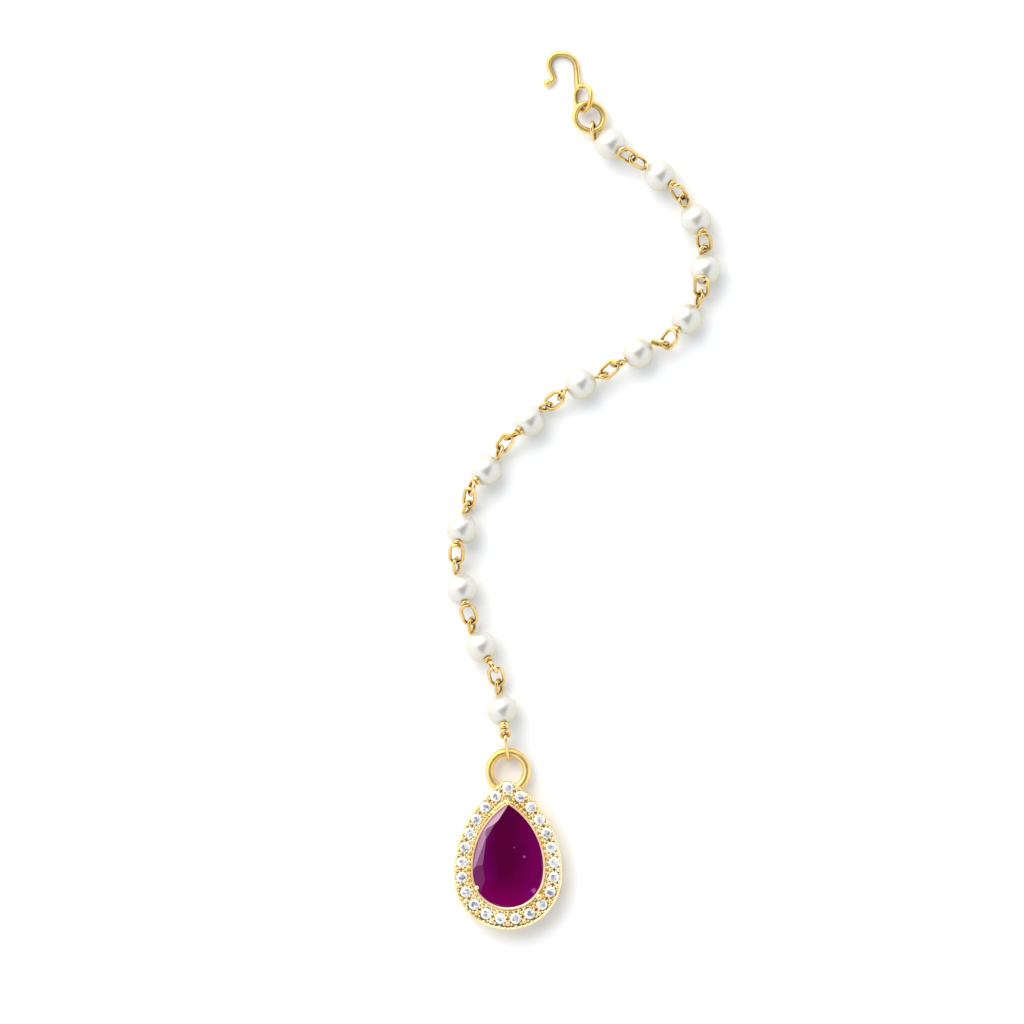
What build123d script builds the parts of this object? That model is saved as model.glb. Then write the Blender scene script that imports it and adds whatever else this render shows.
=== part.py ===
from build123d import *
import os
from collections import namedtuple
from math import atan2, cos, radians, sin, sqrt

# Maang tikka lying flat: a hook, a jump ring, thirteen drilled pearls on eye pins, and a
# pear-shaped pendant on a bail ring. Millimetres, +Z up, resting on the plane z = 0.
# Everything is laid out from the centre of the bail ring, +Y towards the hook. At the end
# each piece is moved so that the origin is the middle of the whole length and width.
# Names: heading is counted from +X towards +Y, pitch is up from the surface, and roll
# turns an oval of wire about its own length: 0 lies face up and 90 stands on edge.

# ---- pearls and their pins
PEARL_RADIUS = 2.12
BORE_RADIUS = 0.36
PIN_WIRE = 0.50          # wire of the eyes, of their wraps and of the oval links
SHANK_WIRE = 0.46        # straight wire inside the bore
NECK_ABOVE = 0.50        # pearl's surface to the upper eye
NECK_BELOW = 0.36        # pearl's surface to a lower eye that has no wrap
WRAP_SEAT = 0.26         # pearl's surface to the first turn of a wrap
WRAP_PITCH = 0.45
WRAP_RADIUS = 0.43       # centre of the wire in a turn
EYE_AFTER_WRAP = 0.38    # last turn to the eye
SOLDER_RADIUS = 0.26     # bead of solder where an eye closes on its shank

# Where two loops of wire hook into each other. Each loop runs past this point by reach.
Crossing = namedtuple("Crossing", "x y z reach")
CROSSINGS = {
    "ring-1": Crossing(11.55, 88.40, 2.30, 0.38),
    "1-2": Crossing(17.05, 83.95, 2.25, 0.42),
    "2-3": Crossing(23.85, 78.60, 1.15, 0.34),
    "3-4": Crossing(26.95, 71.75, 1.60, 0.42),
    "4-5": Crossing(26.50, 65.40, 1.70, 0.39),
    "5-6": Crossing(21.60, 58.55, 2.00, 0.47),
    "6-link": Crossing(14.70, 55.70, 2.55, 0.42),
    "link-7": Crossing(13.20, 54.35, 2.05, 0.42),
    "7-link": Crossing(7.15, 51.35, 2.30, 0.39),
    "link-8": Crossing(5.55, 50.20, 1.35, 0.37),
    "8-link": Crossing(0.10, 45.65, 2.55, 0.44),
    "link-9": Crossing(-0.95, 44.20, 1.40, 0.39),
    "9-link": Crossing(-5.15, 38.35, 2.35, 0.37),
    "link-10": Crossing(-5.40, 36.60, 1.25, 0.37),
    "10-11": Crossing(-7.10, 28.80, 1.70, 0.34),
    "11-12": Crossing(-5.05, 20.55, 1.80, 0.39),
    "12-link": Crossing(-1.85, 13.90, 2.55, 0.34),
    "link-13": Crossing(-1.30, 12.15, 1.45, 0.39),
    "13-link": Crossing(-0.35, 4.85, 2.90, 0.29),
    "link-bail": Crossing(-0.05, 2.10, 1.05, 0.50),
}

# One row for each pearl and its pin, from the hook down. The bore climbs from the upper
# eye to the lower one, turns counts the wraps under the pearl, and each eye has the
# crossing it reaches to, its outer width and its roll.
Pearl = namedtuple("Pearl", "x y heading pitch turns upper upper_width upper_roll"
                            " lower lower_width lower_roll")
PEARLS = {
    1: Pearl(14.05, 85.90, -23, 28, 0, "ring-1", 2.30, 73, "1-2", 2.25, 25),
    2: Pearl(20.80, 81.60, -36, 26, 1, "1-2", 2.05, 32, "2-3", 2.15, 26),
    3: Pearl(25.70, 75.60, -62, 32, 1, "2-3", 2.20, 44, "3-4", 2.40, 21),
    4: Pearl(27.00, 68.70, -86, 31, 0, "3-4", 2.00, 45, "4-5", 2.35, 8),
    5: Pearl(24.40, 62.00, -129, 29, 1, "4-5", 2.05, 113, "5-6", 2.45, 23),
    6: Pearl(17.80, 57.35, -147, 18, 0, "5-6", 2.15, 74, "6-link", 1.90, -60),
    7: Pearl(9.95, 53.10, -156, 13, 0, "link-7", 1.95, -74, "7-link", 1.95, 71),
    8: Pearl(2.95, 48.00, -136, 31, 1, "link-8", 1.95, 56, "8-link", 1.95, -73),
    9: Pearl(-3.05, 41.25, -133, 32, 1, "link-9", 1.90, -68, "9-link", 2.05, 63),
    10: Pearl(-6.40, 33.15, -105, 33, 1, "link-10", 1.95, 58, "10-11", 2.30, 4),
    11: Pearl(-6.40, 24.95, -75, 29, 1, "10-11", 1.95, 61, "11-12", 2.35, 7),
    12: Pearl(-3.70, 17.05, -60, 29, 1, "11-12", 1.95, 59, "12-link", 1.90, 77),
    13: Pearl(-0.85, 8.35, -82, 31, 2, "link-13", 1.95, 60, "13-link", 1.60, 0),
}

# The lower eyes of two pearls are bent back over the pearl and start here.
BENT_BACK = {1: (15.40, 85.00, 4.25), 4: (26.50, 67.65, 4.45)}

# Separate oval links, each under the pearl of its number.
Link = namedtuple("Link", "name upper lower width roll")
LINKS = [
    Link("link_06", "6-link", "link-7", 2.10, 14),
    Link("link_07", "7-link", "link-8", 2.30, 2),
    Link("link_08", "8-link", "link-9", 2.10, -2),
    Link("link_09", "9-link", "link-10", 2.00, 8),
    Link("link_12", "12-link", "link-13", 2.40, 6),
    Link("bail_link", "13-link", "link-bail", 2.40, 90),
]

# ---- jump ring and hook
RING_CENTRE = (11.15, 89.60, 1.61)
RING_HEADING = -20
RING_PITCH = -10
RING_ROLL = -10
RING_LENGTH = 4.93       # a little out of round
RING_WIDTH = 4.60
RING_WIRE = 0.85

HOOK_WIRE = 0.80
HOOK_FOOT = (9.62, 93.45)                         # where the shank runs into the eye
HOOK_CORNERS = [(9.25, 98.30), (4.86, 98.30), (6.40, 94.80)]
HOOK_BENDS = [1.95, 1.42, 0.45]                   # centre radius at each corner
HOOK_TIP = (5.41, 94.33)
TIP_BALL_RADIUS = 0.56
SHANK_SWELL = 1.00       # the shank is stouter just above the eye
SWELL_LENGTH = 2.60
HOOK_EYE_CENTRE = (10.32, 92.25, 1.36)
HOOK_EYE_HEADING = -92
HOOK_EYE_PITCH = 1
HOOK_EYE_ROLL = 43
HOOK_EYE_LENGTH = 4.10
HOOK_EYE_WIDTH = 3.50
HOOK_EYE_WIRE = 0.65
EYE_END_CENTRE = (9.75, 93.75, 0.95)              # cut end of the eye's wire on the shank
EYE_END_RADIUS = 0.42

# ---- pendant
BAIL_DIAMETER = 6.26
BAIL_WIRE = 1.23
BAIL_HEIGHT = 1.30

# A pear outline is a round foot and a round tip joined by two long side arcs.
Pear = namedtuple("Pear", "top bottom foot_radius tip_radius side_radius")
STONE_OUTLINE = Pear(-4.52, -18.69, 4.80, 0.0, 10.3)
HALO_OUTLINE = Pear(-1.40, -21.75, 7.45, 1.35, 15.0)
STONE_ROW = Pear(-2.30, -20.25, 6.33, 0.50, 13.7)

HALO_TOP = 3.20
HALO_BACK_CHAMFER = 0.45
HALO_EDGE_CHAMFER = 0.15
BEZEL_WALL = 0.42
BEZEL_TOP = 3.70
PAVE_COUNT = 23
PAVE_SEAT_RADIUS = 0.84
PAVE_SEAT_DEPTH = 0.45
STONE_GAP = 0.05         # clearance between the centre stone and its seat
GIRDLE_BOTTOM = 3.25
GIRDLE_TOP = 3.45
TABLE_HEIGHT = 4.00
TABLE_SCALE = 0.80       # table outline over girdle outline
CULET_HEIGHT = 0.60
CULET_SCALE = 0.16
BACK_OPENING_SCALE = 0.42
CLAW_RADIUS = 0.34
CLAW_HEIGHT = 3.62
CLAWS = [(0.0, -4.35), (-4.25, -15.95), (4.05, -17.05)]


def direction(heading, pitch):
    level = cos(radians(pitch))
    return Vector(cos(radians(heading)) * level, sin(radians(heading)) * level, sin(radians(pitch)))


def rod(start, end, diameter):
    run = end - start
    return Plane(origin=(start + end) / 2, z_dir=run) * Cylinder(diameter / 2, run.length)


def oval_line(start, end, width, wire, roll):
    """Centreline of an oval of wire that touches start and end, as two arcs and two runs."""
    along = (end - start).normalized()
    level = Vector(0, 0, 1).cross(along).normalized()
    across = level * cos(radians(roll)) + along.cross(level) * sin(radians(roll))
    middle = (start + end) / 2
    side = across * (width - wire) / 2
    run = (end - middle) - along * side.length
    corners = [middle + run + side, middle + run - side, middle - run - side, middle - run + side]
    return Wire([
        ThreePointArc(corners[0], end, corners[1]).edge(),
        Line(corners[1], corners[2]).edge(),
        ThreePointArc(corners[2], start, corners[3]).edge(),
        Line(corners[3], corners[0]).edge(),
    ])


def wire_along(path, diameter):
    section = Plane(origin=path @ 0, z_dir=path % 0) * Circle(diameter / 2)
    return sweep(section, path=path)


def oval(centre, heading, pitch, length, width, wire, roll):
    reach = direction(heading, pitch) * (length - wire) / 2
    return wire_along(oval_line(Vector(*centre) - reach, Vector(*centre) + reach, width, wire, roll), wire)


def crossing_point(name):
    crossing = CROSSINGS[name]
    return Vector(crossing.x, crossing.y, crossing.z)


def far_end(start, name):
    """End of a loop that leaves start and hooks at the named crossing."""
    point = crossing_point(name)
    return point + (point - start).normalized() * CROSSINGS[name].reach


def pearl_centre(pearl):
    return Vector(pearl.x, pearl.y, PEARL_RADIUS)


def make_pearl(pearl):
    centre = pearl_centre(pearl)
    bore = direction(pearl.heading, pearl.pitch) * PEARL_RADIUS * 2
    return Pos(centre) * Sphere(PEARL_RADIUS) - rod(centre - bore, centre + bore, BORE_RADIUS * 2)


def make_pin(number, pearl):
    """Shank through the pearl, an eye at each end, wraps and solder: one soldered solid."""
    centre = pearl_centre(pearl)
    down = direction(pearl.heading, pearl.pitch)
    first_turn = PEARL_RADIUS + WRAP_SEAT
    mouth_below = PEARL_RADIUS + NECK_BELOW
    if pearl.turns:
        mouth_below = first_turn + WRAP_PITCH * (pearl.turns - 1) + EYE_AFTER_WRAP
    top = centre - down * (PEARL_RADIUS + NECK_ABOVE)
    bottom = centre + down * mouth_below
    eye_start = Vector(*BENT_BACK[number]) if number in BENT_BACK else bottom
    upper = oval_line(top, far_end(top, pearl.upper), pearl.upper_width, PIN_WIRE, pearl.upper_roll)
    lower = oval_line(eye_start, far_end(eye_start, pearl.lower), pearl.lower_width, PIN_WIRE,
                      pearl.lower_roll)
    pin = rod(top, bottom, SHANK_WIRE) + wire_along(upper, PIN_WIRE)
    joints = [top, bottom]
    if number in BENT_BACK:
        joint = lower.distance_to_with_closest_points(Vertex(*bottom))[1]
        pin += rod(bottom, joint, SHANK_WIRE)
        joints.append(joint)
    pin += wire_along(lower, PIN_WIRE)
    for joint in joints:
        pin += Pos(joint) * Sphere(SOLDER_RADIUS)
    for turn in range(pearl.turns):
        place = Plane(origin=centre + down * (first_turn + WRAP_PITCH * turn), z_dir=down)
        pin += place * Torus(WRAP_RADIUS, PIN_WIRE / 2)
    return pin


def make_link(link):
    upper = crossing_point(link.upper)
    lower = crossing_point(link.lower)
    along = (lower - upper).normalized()
    start = upper - along * CROSSINGS[link.upper].reach
    end = lower + along * CROSSINGS[link.lower].reach
    return wire_along(oval_line(start, end, link.width, PIN_WIRE, link.roll), PIN_WIRE)


def make_jump_ring():
    return oval(RING_CENTRE, RING_HEADING, RING_PITCH, RING_LENGTH, RING_WIDTH, RING_WIRE, RING_ROLL)


def make_hook():
    radius = HOOK_WIRE / 2
    outline = FilletPolyline(HOOK_FOOT, *HOOK_CORNERS, HOOK_TIP, radius=HOOK_BENDS)
    path = Wire(outline.edges()).moved(Pos(0, 0, radius))
    hook = wire_along(path, HOOK_WIRE)
    hook += Pos(*HOOK_TIP, TIP_BALL_RADIUS) * Sphere(TIP_BALL_RADIUS)
    foot = path @ 0
    rise = path % 0
    swell_middle = foot + rise * SWELL_LENGTH / 2 + Vector(0, 0, SHANK_SWELL / 2 - radius)
    hook += Plane(origin=swell_middle, z_dir=rise) * Cone(SHANK_SWELL / 2, radius, SWELL_LENGTH)
    hook += oval(HOOK_EYE_CENTRE, HOOK_EYE_HEADING, HOOK_EYE_PITCH, HOOK_EYE_LENGTH, HOOK_EYE_WIDTH,
                 HOOK_EYE_WIRE, HOOK_EYE_ROLL)
    hook += Pos(*EYE_END_CENTRE) * Sphere(EYE_END_RADIUS)
    return hook


def pear_edges(outline, grow=0.0):
    """Right side, foot, left side and tip of a pear outline, offset outwards by grow."""
    foot_radius = outline.foot_radius + grow
    tip_radius = outline.tip_radius + grow
    side_radius = outline.side_radius + grow
    foot_y = outline.bottom + outline.foot_radius
    tip_y = outline.top - outline.tip_radius
    height = tip_y - foot_y
    to_foot = side_radius - foot_radius
    to_tip = side_radius - tip_radius
    rise = (to_foot ** 2 - to_tip ** 2 + height ** 2) / (2 * height)
    centre_x = -sqrt(to_foot ** 2 - rise ** 2)
    centre_y = foot_y + rise
    foot_angle = atan2(foot_y - centre_y, -centre_x)
    tip_angle = atan2(tip_y - centre_y, -centre_x)

    def on_side(angle, hand):
        return (hand * (centre_x + side_radius * cos(angle)), centre_y + side_radius * sin(angle))

    middle_angle = (foot_angle + tip_angle) / 2
    edges = [
        ThreePointArc(on_side(tip_angle, 1), on_side(middle_angle, 1), on_side(foot_angle, 1)),
        ThreePointArc(on_side(foot_angle, 1), (0, foot_y - foot_radius), on_side(foot_angle, -1)),
        ThreePointArc(on_side(foot_angle, -1), on_side(middle_angle, -1), on_side(tip_angle, -1)),
    ]
    if tip_radius > 0:
        edges.append(ThreePointArc(on_side(tip_angle, -1), (0, tip_y + tip_radius), on_side(tip_angle, 1)))
    return edges


def pear_face(outline, grow=0.0):
    return make_face(pear_edges(outline, grow))


def scaled_outline(outline, factor):
    middle = (outline.top + outline.bottom) / 2
    return Pear(middle + (outline.top - middle) * factor, middle + (outline.bottom - middle) * factor,
                outline.foot_radius * factor, outline.tip_radius * factor, outline.side_radius * factor)


def make_stone(grow=0.0, foot_height=CULET_HEIGHT, foot_scale=CULET_SCALE):
    """Centre stone: girdle band, crown up to the table, and pavilion down to a blunt foot."""
    girdle = pear_face(STONE_OUTLINE, grow)
    table = pear_face(scaled_outline(STONE_OUTLINE, TABLE_SCALE), grow)
    foot = pear_face(scaled_outline(STONE_OUTLINE, foot_scale), grow)
    stone = extrude(Pos(0, 0, GIRDLE_BOTTOM) * girdle, GIRDLE_TOP - GIRDLE_BOTTOM)
    stone += loft([Pos(0, 0, GIRDLE_TOP) * girdle, Pos(0, 0, TABLE_HEIGHT + grow) * table])
    stone += loft([Pos(0, 0, foot_height) * foot, Pos(0, 0, GIRDLE_BOTTOM) * girdle])
    return stone


def pave_places():
    """Centres of the halo's seats, evenly along the stone row from its top."""
    right_side, foot, left_side, tip = pear_edges(STONE_ROW)
    pitch = sum(edge.length for edge in (right_side, foot, left_side, tip)) / PAVE_COUNT
    places = []
    for number in range(PAVE_COUNT):
        along = tip.length / 2 + number * pitch
        for edge in (tip, right_side, foot, left_side, tip):
            if along <= edge.length:
                break
            along -= edge.length
        places.append(edge @ (along / edge.length))
    return places


def make_setting():
    """Halo plate, bezel, claws and bail ring in one soldered solid, bored for every stone."""
    halo = extrude(pear_face(HALO_OUTLINE), HALO_TOP)
    halo = chamfer(halo.edges().group_by(Axis.Z)[0], HALO_BACK_CHAMFER)
    halo = chamfer(halo.edges().group_by(Axis.Z)[-1], HALO_EDGE_CHAMFER)
    setting = halo + Pos(0, 0, BAIL_HEIGHT) * Torus((BAIL_DIAMETER - BAIL_WIRE) / 2, BAIL_WIRE / 2)
    for place in pave_places():
        seat = Cylinder(PAVE_SEAT_RADIUS, PAVE_SEAT_DEPTH * 2)
        setting -= Pos(place.X, place.Y, HALO_TOP) * seat
    setting += extrude(pear_face(STONE_OUTLINE, BEZEL_WALL), BEZEL_TOP)
    shaft = Pos(0, 0, GIRDLE_BOTTOM) * extrude(pear_face(STONE_OUTLINE, STONE_GAP), TABLE_HEIGHT)
    setting -= shaft + make_stone(STONE_GAP, foot_height=0, foot_scale=BACK_OPENING_SCALE)
    for x, y in CLAWS:
        setting += Pos(x, y, CLAW_HEIGHT) * Sphere(CLAW_RADIUS)
    return setting - make_stone(STONE_GAP)


def build_pieces():
    pieces = {"hook": make_hook(), "jump_ring": make_jump_ring()}
    for number, pearl in PEARLS.items():
        pieces[f"pearl_{number:02d}"] = make_pearl(pearl)
        pieces[f"eye_pin_{number:02d}"] = make_pin(number, pearl)
    for link in LINKS:
        pieces[link.name] = make_link(link)
    pieces["setting"] = make_setting()
    pieces["centre_stone"] = make_stone()
    return pieces


# The outermost pearls set the whole width, and the hook's crook and the halo's foot the
# whole length; the origin is their middle.
columns = [pearl.x for pearl in PEARLS.values()]
middle_x = (min(columns) + max(columns)) / 2
middle_y = (HOOK_CORNERS[0][1] + HOOK_WIRE / 2 + HALO_OUTLINE.bottom) / 2
to_origin = Pos(-middle_x, -middle_y, 0)

os.makedirs("parts", exist_ok=True)
for name, piece in build_pieces().items():
    export_step(to_origin * piece, f"parts/{name}.step")
    print(name, round(piece.volume, 3))
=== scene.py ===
from math import atan2, cos, hypot, pi, radians, sin, sqrt, tan

import bmesh
import bpy
from mathutils import Matrix, Vector


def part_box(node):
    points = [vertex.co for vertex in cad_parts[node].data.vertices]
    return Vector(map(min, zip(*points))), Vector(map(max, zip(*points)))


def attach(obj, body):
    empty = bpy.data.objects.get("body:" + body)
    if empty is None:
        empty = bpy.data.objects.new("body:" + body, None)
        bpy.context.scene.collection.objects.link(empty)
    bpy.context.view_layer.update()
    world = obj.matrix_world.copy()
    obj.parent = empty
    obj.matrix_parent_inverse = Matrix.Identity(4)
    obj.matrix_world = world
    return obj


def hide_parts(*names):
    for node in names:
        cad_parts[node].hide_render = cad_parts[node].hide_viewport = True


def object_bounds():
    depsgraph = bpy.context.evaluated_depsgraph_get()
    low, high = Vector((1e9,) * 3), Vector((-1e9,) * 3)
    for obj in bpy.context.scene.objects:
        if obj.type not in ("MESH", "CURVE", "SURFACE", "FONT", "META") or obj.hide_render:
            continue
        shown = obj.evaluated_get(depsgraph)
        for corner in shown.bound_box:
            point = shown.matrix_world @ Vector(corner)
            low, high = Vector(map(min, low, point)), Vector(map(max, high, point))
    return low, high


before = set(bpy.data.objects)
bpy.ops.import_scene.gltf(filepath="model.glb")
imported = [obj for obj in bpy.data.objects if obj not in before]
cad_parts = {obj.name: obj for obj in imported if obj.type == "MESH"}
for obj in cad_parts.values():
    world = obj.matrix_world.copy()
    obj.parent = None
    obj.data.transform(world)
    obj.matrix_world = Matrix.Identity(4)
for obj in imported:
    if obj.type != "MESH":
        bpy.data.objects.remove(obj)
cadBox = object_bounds()
mm = 0.001
print("frame loaded,", len(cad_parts), "CAD nodes")


class Value:
    # one output socket; sums and products on it add Math nodes
    def __init__(self, sheet, socket):
        self.sheet = sheet
        self.socket = socket

    def out(self, name):
        return Value(self.sheet, self.socket.node.outputs[name])

    def calc(self, operation, first, second):
        return self.sheet.add("ShaderNodeMath", {"operation": operation}, {0: first, 1: second})

    def __add__(self, other):
        return self.calc("ADD", self, other)

    def __sub__(self, other):
        return self.calc("SUBTRACT", self, other)

    def __rsub__(self, other):
        return self.calc("SUBTRACT", other, self)

    def __mul__(self, other):
        return self.calc("MULTIPLY", self, other)

    def __truediv__(self, other):
        return self.calc("DIVIDE", self, other)

    __radd__ = __add__
    __rmul__ = __mul__


class NodeSheet:
    # a node tree under construction, for materials, geometry and the world alike
    def __init__(self, tree):
        self.tree = tree
        tree.nodes.clear()

    def add(self, kind, settings=None, inputs=None, output=0):
        node = self.tree.nodes.new(kind)
        for name, setting in (settings or {}).items():
            if name == "stops":
                self.setStops(node.color_ramp, setting)
            else:
                setattr(node, name, setting)
        for name, given in (inputs or {}).items():
            if isinstance(given, Value):
                self.tree.links.new(given.socket, node.inputs[name])
            else:
                node.inputs[name].default_value = given
        return Value(self, node.outputs[output]) if len(node.outputs) else node

    def setStops(self, ramp, stops):
        while len(ramp.elements) < len(stops):
            ramp.elements.new(1.0)
        for element, (position, colour) in zip(ramp.elements, stops):
            element.position = position
            element.color = colour

    # fades from 0 to 1 while value goes from low to high
    def fade(self, value, low, high):
        return self.add("ShaderNodeMapRange", {"interpolation_type": "SMOOTHSTEP"},
                        {"Value": value, "From Min": low, "From Max": high})

    def blend(self, factor, first, second):
        return self.add("ShaderNodeMix", {"data_type": "RGBA"},
                        {0: factor, 6: first, 7: second}, output=2)

    # a number from two vectors
    def measure(self, operation, first, second):
        return self.add("ShaderNodeVectorMath", {"operation": operation},
                        {0: first, 1: second}, "Value")


class Finish(NodeSheet):
    # one material on a Principled shader
    def __init__(self, name):
        self.material = bpy.data.materials.new(name)
        self.material.use_nodes = True
        super().__init__(self.material.node_tree)

    # coordinates in millimetres, counted from the given place
    def millimetres(self, origin=(0, 0, 0), stretch=(1, 1, 1)):
        place = self.add("ShaderNodeTexCoord", output="Object")
        return self.add("ShaderNodeMapping", inputs={
            "Vector": place,
            "Location": [-start / mm * pull for start, pull in zip(origin, stretch)],
            "Scale": [pull / mm for pull in stretch],
        })

    def attribute(self, name):
        return self.add("ShaderNodeAttribute", {"attribute_name": name}, output="Fac")

    def noise(self, place, scale, detail=2.0, roughness=0.5):
        return self.add("ShaderNodeTexNoise", inputs={
            "Vector": place, "Scale": scale, "Detail": detail, "Roughness": roughness})

    def cells(self, place, scale, output):
        return self.add("ShaderNodeTexVoronoi", {}, {"Vector": place, "Scale": scale}, output)

    def bump(self, height, depth, under=None):
        below = {"Normal": under} if under else {}
        return self.add("ShaderNodeBump", inputs={"Height": height, "Distance": depth * mm, **below})

    def surface(self, inputs):
        shader = self.add("ShaderNodeBsdfPrincipled", inputs=inputs)
        self.add("ShaderNodeOutputMaterial", inputs={"Surface": shader})
        return self.material


class GeometryTree(NodeSheet):
    # a geometry tree with named inputs; run() gives the plain mesh that comes out
    def __init__(self, name, inputs):
        super().__init__(bpy.data.node_groups.new(name, "GeometryNodeTree"))
        sockets = self.tree.interface
        self.identifiers = {}
        for label, kind in inputs.items():
            socket = sockets.new_socket(label, in_out="INPUT", socket_type="NodeSocket" + kind)
            self.identifiers[label] = socket.identifier
        sockets.new_socket("Mesh", in_out="OUTPUT", socket_type="NodeSocketGeometry")
        self.given = self.tree.nodes.new("NodeGroupInput")

    def input(self, label):
        return Value(self, self.given.outputs[label])

    def close(self, geometry):
        plain = self.add("GeometryNodeRealizeInstances", inputs={"Geometry": geometry})
        dressed = self.add("GeometryNodeSetMaterial",
                           inputs={"Geometry": plain, "Material": self.input("Finish")})
        self.add("NodeGroupOutput", inputs={"Mesh": dressed})

    def run(self, start, values):
        holder = addObject("growing", start)
        modifier = holder.modifiers.new("nodes", "NODES")
        modifier.node_group = self.tree
        for label, value in values.items():
            modifier[self.identifiers[label]] = value
        mesh = bakeMesh(holder)
        holder.modifiers.remove(modifier)
        bpy.data.objects.remove(holder)
        return mesh


def addObject(name, data):
    item = bpy.data.objects.new(name, data)
    bpy.context.scene.collection.objects.link(item)
    return item


def bakeMesh(item):
    bpy.context.view_layer.update()
    depsgraph = bpy.context.evaluated_depsgraph_get()
    return bpy.data.meshes.new_from_object(item.evaluated_get(depsgraph))


# patterns in every gold: how fine each is, and where it starts and is full
goldGrain = {
    "tone": 0.45, "toneFrom": (0.35, 0.65),
    "wear": 1.7, "wearFrom": (0.45, 0.75),
    "loopShade": 2.0, "loopShadeFrom": (0.55, 1.10),
    "cuts": 1.9, "cutsFrom": (0.0, 0.8),
    "drawn": 9.0, "drawnStretch": (3.0, 0.7, 3.0),
}
goldLook = {
    "bright": (0.85, 0.65, 0.31, 1),
    "deep": (0.74, 0.49, 0.16, 1),
    # painted shade: dark brown where shade falls inside the wire loops
    "loopShade": (0.21, 0.10, 0.02, 1),
    "loopShadeShare": 0.78,  # how strong the painted shade inside the loops is
    "roughness": 0.17,
    "handling": 0.08,  # how far wear lifts the roughness
    "scratchDepth": 0.001,
    "cutDepth": 0.0,
}
thickGoldLook = {
    **goldLook,
    "bright": (0.89, 0.67, 0.27, 1),
    "deep": (0.84, 0.57, 0.16, 1),
    "loopShadeShare": 0.65,
    "roughness": 0.38,
}
settingGoldLook = {
    **goldLook,
    "bright": (0.96, 0.82, 0.52, 1),
    "deep": (0.90, 0.68, 0.31, 1),
    "loopShadeShare": 0.0,
    "roughness": 0.27,
    "handling": 0.10,
    "scratchDepth": 0.002,
    "cutDepth": 0.020,  # graver cuts between the small stones
}
bezelGoldLook = {
    **goldLook,
    "bright": (0.84, 0.62, 0.42, 1),
    "deep": (0.80, 0.52, 0.32, 1),
    "loopShadeShare": 0.0,
    "roughness": 0.34,
}


def goldFinish(name, look):
    finish = Finish(name)
    place = finish.millimetres()
    tone = finish.fade(finish.noise(place, goldGrain["tone"], 3.0), *goldGrain["toneFrom"])
    wear = finish.fade(finish.noise(place, goldGrain["wear"], 4.0), *goldGrain["wearFrom"])
    # painted shade: the side of each wire that faces the middle of its loop turns brown, in noisy
    # patches
    shadePatches = finish.attribute("inner") + finish.noise(place, goldGrain["loopShade"]) * 0.5
    shadeMask = finish.fade(shadePatches, *goldGrain["loopShadeFrom"]) * look["loopShadeShare"]
    colour = finish.blend(shadeMask, finish.blend(tone, look["bright"], look["deep"]), look["loopShade"])
    roughness = wear * look["handling"] + look["roughness"]
    along = finish.millimetres(stretch=goldGrain["drawnStretch"])
    normal = finish.bump(finish.noise(along, goldGrain["drawn"], 3.0, 0.7), look["scratchDepth"])
    if look["cutDepth"]:
        cuts = finish.fade(finish.cells(place, goldGrain["cuts"], "Distance"), *goldGrain["cutsFrom"])
        normal = finish.bump(cuts, look["cutDepth"], normal)
    return finish.surface({
        "Base Color": colour, "Metallic": 1.0, "Roughness": roughness, "Normal": normal,
    })


pearlLook = {
    "white": (0.68, 0.66, 0.605, 1),
    "cream": (0.675, 0.63, 0.53, 1),
    "under": (0.66, 0.60, 0.36, 1),  # painted shade: yellower low down on the sides, most on the side away from the light
    "creamFrom": (0.38, 0.72),  # how strong the growth must be to look creamy
    "shadedSideFrom": (0.42, 1.08),  # how low a place must lie to get the painted shade
    "shadedSideShares": (0.75, 0.21, 0.28),  # what down, right and pendantwards count for that
    "cloud": 0.35,  # how fine the patterns are
    "growth": 2.2,
    "pores": 1.6,
    "skinDepth": 0.0012,
    "roughness": 0.30,
    # the metallic share is the sheen of the layers
    "shader": {"Metallic": 0.52, "IOR": 1.60,
               "Coat Weight": 0.3, "Coat Roughness": 0.12, "Coat IOR": 1.60},
}


def pearlFinish(look):
    finish = Finish("nacre")
    place = finish.millimetres()
    cloud = finish.noise(place, look["cloud"])
    growth = finish.noise(finish.millimetres(stretch=(0.6, 0.6, 1.8)), look["growth"], 3.0)
    cream = finish.fade(cloud * 0.7 + growth * 0.3, *look["creamFrom"])
    colour = finish.blend(cream, look["white"], look["cream"])
    # painted shade: yellower low on each pearl and on its side away from the light
    low = finish.fade(finish.attribute("under") + growth * 0.2, *look["shadedSideFrom"])
    colour = finish.blend(low, colour, look["under"])
    pores = finish.noise(place, look["pores"], 1.0)
    return finish.surface({
        "Base Color": colour,
        "Roughness": growth * 0.05 + look["roughness"],
        "Normal": finish.bump(pores, look["skinDepth"]),
        **look["shader"],
    })


crimsonLook = {
    "deep": (0.072, 0.0, 0.028, 1),
    "left": (0.116, 0.0, 0.072, 1),
    "right": (0.136, 0.0, 0.069, 1),
    "foot": (0.165, 0.0, 0.066, 1),
    "crown": (0.41, 0.215, 0.32, 1),  # painted light: a lilac glow on the crown facets that face the light
    # how far from the middle each of the three lighter colours starts and is full
    "leftFrom": (0.9, 3.9),
    "rightFrom": (0.2, 4.4),
    "footFrom": (1.6, 7.2),
    "cloud": 0.5,  # how fine the clouds are that shift them, and how far
    "cloudShift": 2.4,
    # painted glows and glints inside: across, up and above the middle, how far they spread, and their
    # colour
    "paintedGlows": [
        (3.30, -5.20, 1.5, 1.60, (0.17, 0.0, 0.11, 1)),
        (3.55, -4.75, 1.5, 0.55, (0.56, 0.12, 0.47, 1)),
        (2.23, -0.10, 1.5, 0.27, (0.40, 0.08, 0.30, 1)),
        (0.86, 1.17, 1.5, 0.21, (0.30, 0.05, 0.22, 1)),
    ],
    "polish": 6.0,  # how fine the polishing marks are
    "roughness": 0.03,
    "ior": 1.54,
}


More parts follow.
